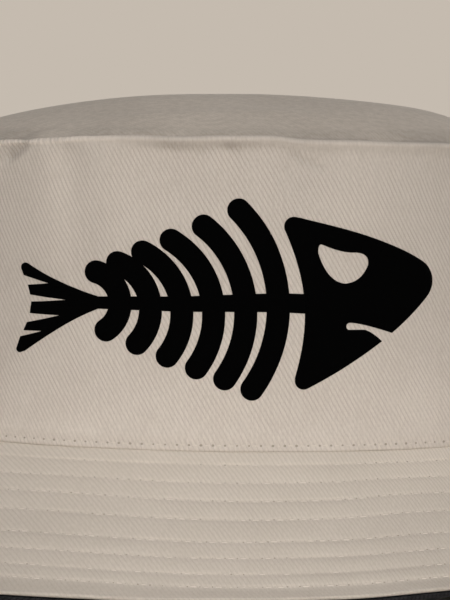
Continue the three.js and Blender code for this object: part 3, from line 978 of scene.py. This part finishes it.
def fitted(target, shape, axes, middle):  # adds a copy of a small mesh, stretched along three axes, in mm
    place = Matrix(axes).transposed().to_4x4()
    place.translation = middle
    one = shape.copy()
    one.transform(Matrix.Scale(mm, 4) @ place)
    target.from_mesh(one)
    bpy.data.meshes.remove(one)


def sewRow(threads, pits, look, skin, relief, turns, ups):
    # one stitch between each two needle holes, and a pit at each hole
    points, normals = lifted(skin, turns, ups, relief(turns, ups))
    rng = np.random.default_rng(int(abs(ups[0]) * 100) + len(turns))
    for i in range(len(turns) - 1):
        start, end = Vector(points[i]), Vector(points[i + 1])
        forward = (end - start).normalized()
        normal = Vector(normals[i] + normals[i + 1]).normalized()
        side = normal.cross(forward)
        length = (end - start).length * thread["length"] / thread["pitch"] * rng.uniform(*thread["longer"])
        wide = look["radius"] * rng.uniform(*thread["thicker"])
        middle = (start + end) / 2.0 + normal * rng.uniform(*look["proud"])
        middle += side * rng.uniform(*thread["aside"])
        fitted(threads, stitch, (forward * length, side * wide, normal * wide), middle)
        if pits is not None:
            wide = rng.uniform(*look["hole"])
            axes = (forward * wide * pit["stretch"], side * wide, normal * wide)
            fitted(pits, hole, axes, start + normal * pit["stand"])


def rowTurns(radius):
    length = arc(math.pi, radius) - arc(-math.pi, radius)
    return np.linspace(-math.pi, math.pi, round(float(length) / thread["pitch"]) + 1)


upperThread, underThread, crownThread, pits = bmesh.new(), bmesh.new(), bmesh.new(), bmesh.new()
for number, row in enumerate(brimCloth["rows"]):
    turns = rowTurns(float(brimAt(np.array(row), 0.0)[0]))
    wobble = row + 0.12 * roundRipple(turns, 60, 70 + number)
    sewRow(upperThread, pits, onBrim, brimSkin, brimRelief, turns, wobble)
    sewRow(underThread, None, onBrim, underSkin, underRelief, turns, wobble)
turns = rowTurns(hat["headRadius"])
sewRow(crownThread, pits, onCrown, sideSkin, sideRelief, turns, np.full_like(turns, crownCloth["topstitch"]))
for name, bm, material, slot in (
    ("brimStitches", upperThread, naturalThread, "eyelet_thread"),
    ("underStitches", underThread, blackThread, "black_twill"),
    ("crownStitches", crownThread, naturalThread, "eyelet_thread"),
    ("needleHoles", pits, needleHole, "natural_twill"),
):
    addPiece(name, meshFrom(bm, name), material)
print("sewed the stitch rows")

# eyelets

def eyeletPiece(seat):
    # a worked ring on each face of the wall and a tube of thread between them
    inside, (inner, outer) = eyelets["through"], eyelets["crest"]
    outline = [
        (eyelets["hole"], inside), (inner, inside - 0.75), (outer, inside - 0.7),
        (eyelets["flange"], inside + 0.1), (eyelets["barrel"], inside + 0.1), (eyelets["barrel"], -0.1),
        (eyelets["flange"], -0.1), (outer, eyelets["rise"] - 0.1), (inner, eyelets["rise"]),
        (eyelets["hole"], 0.2),
    ]
    bm = bmesh.new()
    verts = [bm.verts.new((radius, 0.0, height)) for radius, height in outline]
    edges = [bm.edges.new(pair) for pair in zip(verts, verts[1:] + verts[:1])]
    bmesh.ops.spin(
        bm, geom=verts + edges, cent=(0, 0, 0), axis=(0, 0, 1), dvec=(0, 0, 0),
        angle=2.0 * math.pi, steps=eyelets["threads"] * 4, use_merge=True, use_duplicate=False,
    )
    inOrder(bm)
    bmesh.ops.recalc_face_normals(bm, faces=bm.faces)
    for vert in bm.verts:  # satin stitch: threads lie side by side out from the hole
        around = math.atan2(vert.co.y, vert.co.x)
        reach = math.hypot(vert.co.x, vert.co.y)
        ridge = eyelets["ridge"] * math.cos(eyelets["threads"] * around)
        if reach > eyelets["barrel"] + 0.01:
            vert.co.z += ridge * (1.0 if vert.co.z > inside / 2.0 else -1.0)
            uneven = 1.0 + eyelets["uneven"] * math.sin(around * 3.0 + seat["turn"] * 9.0)
            vert.co.x *= uneven
            vert.co.y *= uneven
        vert.co.z -= vert.co.x ** 2 / (2.0 * 87.0)  # follows the wall's curve
    across = Vector((0.0, 0.0, 1.0)).cross(seat["normal"]).normalized()
    upward = seat["normal"].cross(across)
    place = Matrix((across, upward, seat["normal"])).transposed().to_4x4()
    place.translation = seat["middle"] / mm
    bmesh.ops.transform(bm, matrix=Matrix.Scale(mm, 4) @ place, verts=bm.verts)
    name = seat["name"] + "_thread"
    addPiece(name, meshFrom(bm, name), naturalThread, [seat["name"]])


for seat in eyeletSeats:
    eyeletPiece(seat)
print("worked the eyelets")

# the printed fish bone, drawn in mm round the middle of its backbone

figure = {
    "height": 77.0 - hat["seamHeight"],  # of the backbone above the brim's seam
    "stroke": 3.12,  # half the width of a rib
    "ribs": 6,
    "film": 0.09,  # thickness of the ink over the cloth
    "fine": 0.35,  # mm between two points of a curve
    "cuts": (1.2, 2.4),  # mm between two cuts across and along, so that the film can follow the cloth
}


def lineTo(points, *ends):
    points.extend(ends)


def curveTo(points, control, end):  # a bend that leans on one control point
    start = points[-1]
    reach = math.dist(start, control) + math.dist(control, end)
    count = max(3, round(reach / figure["fine"] / 2.0))
    for i in range(1, count + 1):
        t = i / count
        points.append(tuple(
            (1 - t) ** 2 * a + 2 * t * (1 - t) * b + t * t * c for a, b, c in zip(start, control, end)
        ))


def arcTo(points, middle, radius, start, end):
    count = max(4, round(abs(end - start) * radius / figure["fine"]))
    for i in range(count + 1):
        angle = start + (end - start) * i / count
        points.append((middle[0] + radius * math.cos(angle), middle[1] + radius * math.sin(angle)))


def circleThrough(a, b, c):
    d = 2.0 * (a[0] * (b[1] - c[1]) + b[0] * (c[1] - a[1]) + c[0] * (a[1] - b[1]))
    qa, qb, qc = (p[0] ** 2 + p[1] ** 2 for p in (a, b, c))
    x = (qa * (b[1] - c[1]) + qb * (c[1] - a[1]) + qc * (a[1] - b[1])) / d
    y = (qa * (c[0] - b[0]) + qb * (a[0] - c[0]) + qc * (b[0] - a[0])) / d
    return (x, y), math.dist((x, y), a)


def ribOutline(i):  # counted from the tail, longer and wider apart towards the head
    middle = (-28.46 + 8.25 * i + 0.062 * i * i, -0.57)
    upper = (middle[0] - (6.55 + 2.84 * i - 0.405 * i * i), 8.63 + 2.41 * i + 0.196 * i * i)
    lower = (middle[0] - (3.85 - 0.41 * i + 0.212 * i * i), -(7.0 + 3.51 * i - 0.08 * i * i))
    centre, radius = circleThrough(upper, middle, lower)
    start = math.atan2(lower[1] - centre[1], lower[0] - centre[0])
    end = math.atan2(upper[1] - centre[1], upper[0] - centre[0])
    points = []
    arcTo(points, centre, radius + figure["stroke"], start, end)
    arcTo(points, upper, figure["stroke"], end, end + math.pi)
    arcTo(points, centre, radius - figure["stroke"], end, start)
    arcTo(points, lower, figure["stroke"], start + math.pi, start + 2.0 * math.pi)
    return points


def headOutline():
    points = [(42.7, -10.2)]  # chin
    curveTo(points, (40.1, -7.6), (37.9, -6.9))
    lineTo(points, (33.8, -6.8))
    arcTo(points, (33.8, -5.9), 1.0, -1.9, -4.6)
    curveTo(points, (36.5, -4.9), (45.5, -8.0))
    curveTo(points, (51.4, -3.3), (55.4, 1.3))
    arcTo(points, (50.6, 5.9), 6.6, -0.75, 1.0)
    curveTo(points, (44.4, 18.3), (20.3, 23.9))
    arcTo(points, (19.0, 21.0), 3.0, 1.25, 3.4)
    curveTo(points, (21.6, 8.5), (21.5, -2.6))
    curveTo(points, (21.5, -10.5), (18.7, -20.1))
    arcTo(points, (21.2, -20.4), 2.4, 2.8, 5.2)
    curveTo(points, (32.9, -17.3), (42.7, -10.2))
    return points[:-1]


def eyeOutline():
    points = [(25.2, 14.2)]
    curveTo(points, (25.1, 17.1), (26.4, 16.5))
    curveTo(points, (32.0, 14.0), (35.5, 14.2))
    curveTo(points, (39.4, 13.9), (38.9, 10.8))
    curveTo(points, (37.0, 6.1), (32.5, 5.8))
    curveTo(points, (27.7, 6.3), (25.2, 14.2))
    return points[:-1]


def tailOutline():
    points = [(-34.6, -1.4)]
    curveTo(points, (-43.6, -5.0), (-54.7, -13.2))
    arcTo(points, (-56.2, -12.7), 1.0, -1.0, -3.2)
    for low, high, tip in (  # four notches in the hind edge
        ((-56.1, -9.3), (-55.2, -7.6), (-50.0, -7.6)),
        ((-54.2, -5.3), (-53.4, -2.8), (-45.2, -3.3)),
        ((-53.0, 0.4), (-53.3, 2.3), (-43.3, 0.9)),
        ((-54.0, 5.0), (-55.2, 7.6), (-48.2, 5.5)),
    ):
        lineTo(points, low, tip, high)
    arcTo(points, (-54.7, 9.8), 1.3, 3.4, 1.0)
    curveTo(points, (-43.8, 4.5), (-34.6, 2.1))
    return points


def filled(outlines):  # a flat shape in x and z, holes left open
    curve = bpy.data.curves.new("outline", "CURVE")
    curve.dimensions = "2D"
    curve.fill_mode = "FRONT"
    for outline in outlines:
        spline = curve.splines.new("POLY")
        spline.points.add(len(outline) - 1)
        for point, (x, z) in zip(spline.points, outline):
            point.co = (x, z, 0.0, 1.0)
        spline.use_cyclic_u = True
    drawn = bpy.data.objects.new("outline", curve)
    bpy.context.scene.collection.objects.link(drawn)
    mesh = bpy.data.meshes.new_from_object(drawn.evaluated_get(bpy.context.evaluated_depsgraph_get()))
    bpy.data.objects.remove(drawn)
    bpy.data.curves.remove(curve)
    return mesh


def union(meshes):  # flat shapes become slabs, the slabs one body, and its top the joined shape
    slabs = []
    for mesh in meshes:
        bm = bmesh.new()
        bm.from_mesh(mesh)
        bmesh.ops.dissolve_limit(bm, angle_limit=0.01, verts=bm.verts, edges=bm.edges)
        thick = bmesh.ops.extrude_face_region(bm, geom=bm.faces[:])["geom"]
        bmesh.ops.translate(bm, verts=[g for g in thick if isinstance(g, bmesh.types.BMVert)], vec=(0, 0, 2))
        inOrder(bm)
        bmesh.ops.recalc_face_normals(bm, faces=bm.faces)
        bm.to_mesh(mesh)
        bm.free()
        slab = bpy.data.objects.new("slab", mesh)
        bpy.context.scene.collection.objects.link(slab)
        slabs.append(slab)
    for other in slabs[1:]:
        join = slabs[0].modifiers.new("join", "BOOLEAN")
        join.operation = "UNION"
        join.solver = "EXACT"
        join.object = other
    joined = bpy.data.meshes.new_from_object(slabs[0].evaluated_get(bpy.context.evaluated_depsgraph_get()))
    for slab in slabs:
        bpy.data.objects.remove(slab)
    bm = bmesh.new()
    bm.from_mesh(joined)
    rest = [f for f in bm.faces if f.normal.z < 0.9]
    bmesh.ops.delete(bm, geom=rest, context="FACES")
    inOrder(bm)
    bm.to_mesh(joined)
    bm.free()
    return joined


def printPiece(name, mesh, node):  # cut along the cloth's curve, then laid on the crown
    bm = bmesh.new()
    bm.from_mesh(mesh)
    bmesh.ops.dissolve_limit(bm, angle_limit=0.01, verts=bm.verts, edges=bm.edges)
    for axis, step in enumerate(figure["cuts"]):
        values = [v.co[axis] for v in bm.verts]
        facing = (1.0 - axis, float(axis), 0.0)
        for cutAt in np.arange(min(values) + step / 2.0, max(values), step):
            parts = bm.verts[:] + bm.edges[:] + bm.faces[:]
            bmesh.ops.bisect_plane(bm, geom=parts, plane_co=[cutAt * f for f in facing], plane_no=facing)
    bmesh.ops.remove_doubles(bm, verts=bm.verts, dist=1e-3)
    bmesh.ops.triangulate(bm, faces=bm.faces)
    bm.to_mesh(mesh)
    bm.free()
    flat = pointsOf(mesh)
    across, height = flat[:, 0] / hat["wide"], flat[:, 1] + figure["height"] + hat["seamHeight"]
    z = height.copy()
    for _ in range(6):  # closes in on the pattern height that the droop brings to this height
        up = smooth((z - hat["seamHeight"]) / hat["crownHeight"])
        z = height + up * hat["sideDroop"] * (across / hat["rimRadius"]) ** 2 + hat["lean"] * across
    turn = np.arcsin(across / crownRadius(z))
    up = z - hat["seamHeight"]
    points = lifted(sideSkin, turn, up, sideRelief(turn, up) + figure["film"])[0]
    layOut(mesh, points, flatSide(turn, up))
    mesh.name = name
    thicken(addPiece(name, mesh, ink, [node]), figure["film"])
    print("printed", name, len(mesh.polygons), "faces")


backbone = [(-35.2, -1.3), (22.4, -2.2), (22.4, 3.2), (-35.2, 2.0)]
printPiece("printHead", filled([headOutline(), eyeOutline()]), "print_head")
ribShapes = [filled([ribOutline(i)]) for i in range(figure["ribs"])]
printPiece("printRibs", union([filled([backbone])] + ribShapes), "print_ribs")
printPiece("printTail", filled([tailOutline()]), "print_tail")

# floor, light and backdrop

studio = {
    "backdrop": "#c5bbaf",
    "floor": "#cdc3b7",
    "ambient": 0.24,
    "lamps": [  # name, place, aim, size, spread in degrees, watts
        ("key", (0.1, -2.0, 0.85), (0.0, 0.0, 0.08), 1.2, 180, 27.5),
        ("brimBeam", (0.0, -1.2, 0.15), (0.0, 0.0, -0.10), 0.3, 30, 0.1),
        ("back", (0.0, 1.9, 0.12), (0.0, 0.0, 0.06), 0.9, 180, 9.0),
        ("backLeft", (-1.6, 1.3, 0.4), (0.0, 0.0, 0.06), 1.0, 180, 5.8),
        ("backRight", (1.6, 1.3, 0.4), (0.0, 0.0, 0.06), 1.0, 180, 12.2),
    ],
}

bm = bmesh.new()
bmesh.ops.create_circle(bm, cap_ends=True, segments=96, radius=4.0)
floor = bpy.data.objects.new("floor", meshFrom(bm, "floor"))
floor.data.materials.append(newMaterial("paintedFloor", {
    "Base Color": linear(studio["floor"]), "Roughness": 0.9,
})[0])
floor.location.z = -0.0004
bpy.context.scene.collection.objects.link(floor)

world = bpy.data.worlds.new("studio")
world.use_nodes = True
sky = world.node_tree
sky.nodes.clear()
wall = addNode(sky, "ShaderNodeBackground", {"Color": linear(studio["backdrop"]), "Strength": 1.0})
soft = addNode(sky, "ShaderNodeBackground", {"Color": linear("#ffffff"), "Strength": studio["ambient"]})
ray = addNode(sky, "ShaderNodeLightPath")
either = addNode(
    sky, "ShaderNodeMixShader",
    links={0: ray.outputs["Is Camera Ray"], 1: soft.outputs[0], 2: wall.outputs[0]},
)
addNode(sky, "ShaderNodeOutputWorld", links={"Surface": either.outputs[0]})
bpy.context.scene.world = world

for name, place, aim, size, spread, power in studio["lamps"]:
    data = bpy.data.lights.new(name, "AREA")
    data.shape = "DISK"
    data.size = size
    data.spread = math.radians(spread)
    data.energy = power
    lamp = bpy.data.objects.new(name, data)
    lamp.location = place
    lamp.rotation_euler = (Vector(aim) - Vector(place)).to_track_quat("-Z", "Y").to_euler()
    lamp.visible_camera = False
    bpy.context.scene.collection.objects.link(lamp)

bpy.context.scene.view_settings.view_transform = "Standard"
bpy.context.scene.view_settings.look = "None"
